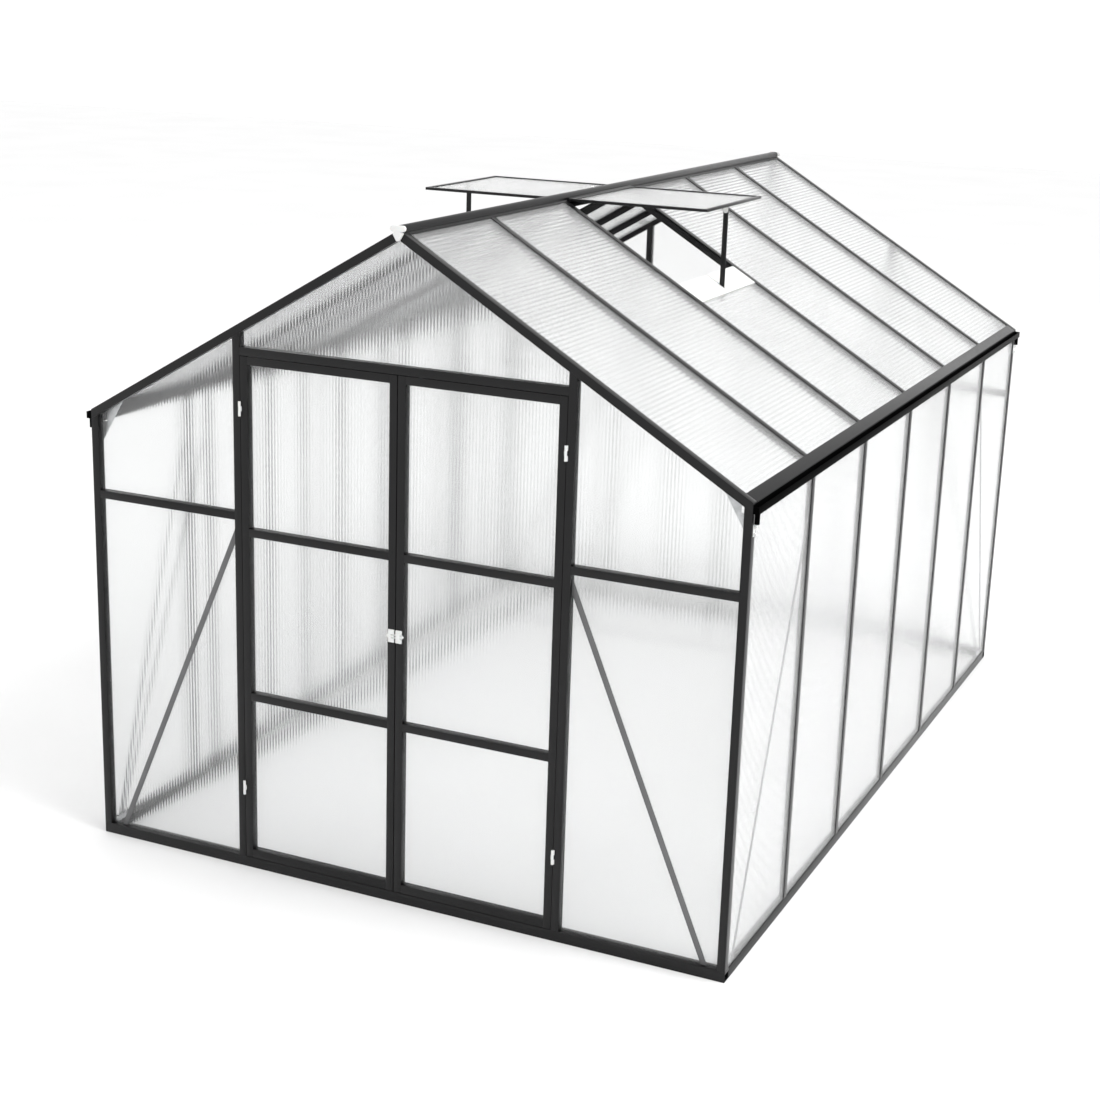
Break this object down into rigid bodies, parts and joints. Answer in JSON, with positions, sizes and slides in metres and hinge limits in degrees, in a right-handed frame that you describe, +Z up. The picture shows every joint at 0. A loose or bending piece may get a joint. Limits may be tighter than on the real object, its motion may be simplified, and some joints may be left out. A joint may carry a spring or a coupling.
{
  "type": "greenhouse",
  "caption": "walk-in gable greenhouse with an extruded metal frame, clear twin-wall sheets, double front doors, gutters and hinged roof vents",
  "frame": {"origin": "centre of the ground plane under the greenhouse", "axes": "-Y faces the front doors, the ridge runs along Y, +X is the right side seen from the front, +Z is up"},
  "size_m": [2.48, 3.68, 2.3326],
  "materials": {
    "base_rail_front": "charcoal powder coat",
    "base_rail_back": "charcoal powder coat",
    "base_rail_left": "charcoal powder coat",
    "base_rail_right": "charcoal powder coat",
    "corner_posts_front": "charcoal powder coat",
    "corner_posts_back": "charcoal powder coat",
    "side_bars_left": "charcoal powder coat",
    "side_bars_right": "charcoal powder coat",
    "eave_beam_left": "charcoal powder coat",
    "eave_beam_right": "charcoal powder coat",
    "gutter_floors": "black powder coat",
    "gutter_walls": "black powder coat",
    "gutter_end_caps": "black powder coat",
    "downpipe_outlets": "black powder coat",
    "outlet_clips": "white moulded plastic",
    "ridge_beam": "charcoal powder coat",
    "ridge_end_caps": "white moulded plastic",
    "front_rafters": "charcoal powder coat",
    "back_rafters": "charcoal powder coat",
    "roof_bars_left": "charcoal powder coat",
    "roof_bars_right": "charcoal powder coat",
    "door_jambs": "charcoal powder coat",
    "door_header": "charcoal powder coat",
    "front_mid_rails": "charcoal powder coat",
    "back_posts": "charcoal powder coat",
    "back_mid_rails": "charcoal powder coat",
    "front_braces": "charcoal powder coat",
    "side_braces": "charcoal powder coat",
    "back_braces": "charcoal powder coat",
    "gusset_plates": "plated steel",
    "base_corner_plates": "plated steel",
    "frame_bolts": "plated steel",
    "wall_sheets_left": "clear twin-wall sheet",
    "wall_sheets_right": "clear twin-wall sheet",
    "front_sheets": "clear twin-wall sheet",
    "back_sheets": "clear twin-wall sheet",
    "roof_sheets_left": "clear twin-wall sheet",
    "roof_sheets_right": "clear twin-wall sheet",
    "vent_sills": "white moulded plastic",
    "vent_hinge_channels": "charcoal powder coat",
    "jamb_hinges": "white moulded plastic",
    "vent_frame_left": "charcoal powder coat",
    "vent_frame_right": "charcoal powder coat",
    "vent_sheet_left": "clear twin-wall sheet",
    "vent_sheet_right": "clear twin-wall sheet",
    "vent_bracket_left": "white moulded plastic",
    "vent_bracket_right": "white moulded plastic",
    "vent_stay_left": "charcoal powder coat",
    "vent_stay_right": "charcoal powder coat",
    "door_stiles_left": "charcoal powder coat",
    "door_stiles_right": "charcoal powder coat",
    "door_rails_left": "charcoal powder coat",
    "door_rails_right": "charcoal powder coat",
    "door_panes_left": "clear twin-wall sheet",
    "door_panes_right": "clear twin-wall sheet",
    "door_hinges_left": "white moulded plastic",
    "door_hinges_right": "white moulded plastic",
    "latch_keeper": "white moulded plastic",
    "latch_plate": "white moulded plastic",
    "latch_bolt": "white moulded plastic"
  },
  "bodies": {
    "frame": {"base_rail_front": "base_rail_front", "base_rail_back": "base_rail_back", "base_rail_left": "base_rail_left", "base_rail_right": "base_rail_right", "corner_posts_front": "corner_posts_front", "corner_posts_back": "corner_posts_back", "side_bars_left": "side_bars_left", "side_bars_right": "side_bars_right", "eave_beam_left": "eave_beam_left", "eave_beam_right": "eave_beam_right", "gutter_floors": "gutter_floors", "gutter_walls": "gutter_walls", "gutter_end_caps": "gutter_end_caps", "downpipe_outlets": "downpipe_outlets", "outlet_clips": "outlet_clips", "ridge_beam": "ridge_beam", "ridge_end_caps": "ridge_end_caps", "front_rafters": "front_rafters", "back_rafters": "back_rafters", "roof_bars_left": "roof_bars_left", "roof_bars_right": "roof_bars_right", "door_jambs": "door_jambs", "door_header": "door_header", "front_mid_rails": "front_mid_rails", "back_posts": "back_posts", "back_mid_rails": "back_mid_rails", "front_braces": "front_braces", "side_braces": "side_braces", "back_braces": "back_braces", "gusset_plates": "gusset_plates", "base_corner_plates": "base_corner_plates", "frame_bolts": "frame_bolts", "wall_sheets_left": "wall_sheets_left", "wall_sheets_right": "wall_sheets_right", "front_sheets": "front_sheets", "back_sheets": "back_sheets", "roof_sheets_left": "roof_sheets_left", "roof_sheets_right": "roof_sheets_right", "vent_sills": "vent_sills", "vent_hinge_channels": "vent_hinge_channels", "jamb_hinges": "jamb_hinges"},
    "door_left": {"door_stiles_left": "door_stiles_left", "door_rails_left": "door_rails_left", "door_panes_left": "door_panes_left", "door_hinges_left": "door_hinges_left", "latch_keeper": "latch_keeper"},
    "vent_left": {"vent_frame_left": "vent_frame_left", "vent_sheet_left": "vent_sheet_left", "vent_bracket_left": "vent_bracket_left"},
    "stay_left": {"vent_stay_left": "vent_stay_left"},
    "door_right": {"door_stiles_right": "door_stiles_right", "door_rails_right": "door_rails_right", "door_panes_right": "door_panes_right", "door_hinges_right": "door_hinges_right", "latch_plate": "latch_plate"},
    "vent_right": {"vent_frame_right": "vent_frame_right", "vent_sheet_right": "vent_sheet_right", "vent_bracket_right": "vent_bracket_right"},
    "stay_right": {"vent_stay_right": "vent_stay_right"},
    "latch_slide": {"latch_bolt": "latch_bolt"}
  },
  "joints": [
    {"name": "door_left_hinge", "type": "hinge", "parent": "frame", "child": "door_left", "pos_m": [-0.60125, -1.835, 0.99], "axis": [0, 0, -1], "range_deg": [0, 165]},
    {"name": "door_right_hinge", "type": "hinge", "parent": "frame", "child": "door_right", "pos_m": [0.60125, -1.835, 0.99], "axis": [0, 0, 1], "range_deg": [0, 165]},
    {"name": "vent_left_hinge", "type": "hinge", "parent": "frame", "child": "vent_left", "pos_m": [-0.02656, -0.305, 2.31053], "axis": [0, -1, 0], "range_deg": [0, 30]},
    {"name": "vent_right_hinge", "type": "hinge", "parent": "frame", "child": "vent_right", "pos_m": [0.02656, -0.305, 2.31053], "axis": [0, 1, 0], "range_deg": [0, 30]},
    {"name": "stay_left_pivot", "type": "hinge", "parent": "vent_left", "child": "stay_left", "pos_m": [-0.53656, -0.305, 2.28353], "axis": [0, -1, 0], "range_deg": [-30, 0]},
    {"name": "stay_right_pivot", "type": "hinge", "parent": "vent_right", "child": "stay_right", "pos_m": [0.53656, -0.305, 2.28353], "axis": [0, 1, 0], "range_deg": [-30, 0]},
    {"name": "latch_slide_joint", "type": "slide", "parent": "door_right", "child": "latch_slide", "axis": [1, 0, 0], "range_m": [0, 0.009]}
  ],
  "couplings": [
    {"joint": "stay_left_pivot", "follows": "vent_left_hinge", "ratio": -1},
    {"joint": "stay_right_pivot", "follows": "vent_right_hinge", "ratio": -1}
  ]
}
